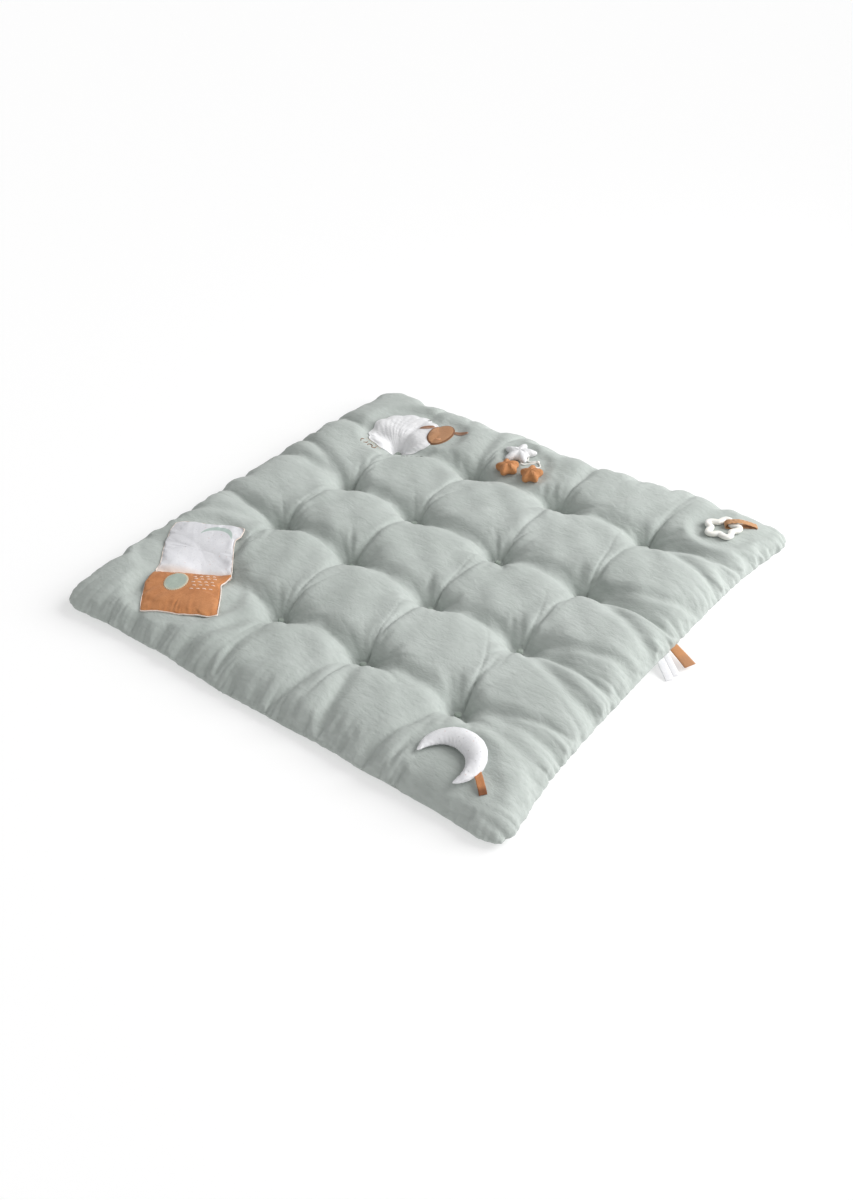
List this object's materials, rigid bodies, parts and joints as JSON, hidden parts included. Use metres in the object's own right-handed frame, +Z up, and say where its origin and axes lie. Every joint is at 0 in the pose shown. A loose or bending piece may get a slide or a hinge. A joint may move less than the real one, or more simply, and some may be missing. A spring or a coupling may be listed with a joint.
{
  "type": "baby play mat",
  "caption": "Square tufted play mat of filled gauze, lying flat, with a soft book, sheep applique, stuffed stars and moon on tapes, and a star ring at a corner.",
  "frame": {"origin": "on the floor under the middle of the mat", "axes": "+X along the near rim, +Y to the back rim, +Z up out of the tufted face"},
  "size_m": [1.0681, 1.0364, 0.0778],
  "materials": {
    "sage_gauze": "crinkled double gauze",
    "sage_knot": "cloth covered knot",
    "white_gauze": "crinkled gauze",
    "brown_cloth": "plain cotton",
    "white_cotton": "plain cotton with fine specks",
    "rust_cotton": "plain cotton",
    "pale_edging": "overlocked cotton",
    "green_cloth": "stitched cotton patch",
    "white_cord": "braided cotton cord",
    "rust_tape": "woven tape",
    "label_satin": "satin ribbon, bare",
    "ring_silicone": "satin"
  },
  "bodies": {
    "root": {"mat_cushion": "sage_gauze", "sheep_fleece": "white_gauze", "sheep_head": "brown_cloth", "sheep_ear_left": "brown_cloth", "sheep_ear_right": "brown_cloth", "book_leaf_white": "white_cotton", "book_leaf_rust": "rust_cotton", "book_edging_white": "pale_edging", "book_edging_rust": "pale_edging", "book_cloud": "green_cloth", "star_white": "white_cotton", "star_rust_left": "rust_cotton", "star_rust_right": "rust_cotton", "cord_knot": "white_cord", "cord_white": "white_cord", "cord_left": "white_cord", "cord_right": "white_cord", "star_ring": "ring_silicone", "ring_tape": "rust_tape", "moon": "white_cotton", "moon_tape": "rust_tape", "tape_tab": "rust_tape", "label_left": "label_satin", "label_right": "label_satin", "tuft_knot_11": "sage_knot", "tuft_knot_12": "sage_knot", "tuft_knot_13": "sage_knot", "tuft_knot_14": "sage_knot", "tuft_knot_21": "sage_knot", "tuft_knot_22": "sage_knot", "tuft_knot_23": "sage_knot", "tuft_knot_24": "sage_knot", "tuft_knot_31": "sage_knot", "tuft_knot_32": "sage_knot", "tuft_knot_33": "sage_knot", "tuft_knot_34": "sage_knot", "tuft_knot_41": "sage_knot", "tuft_knot_42": "sage_knot", "tuft_knot_43": "sage_knot", "tuft_knot_44": "sage_knot"}
  },
  "joints": []
}
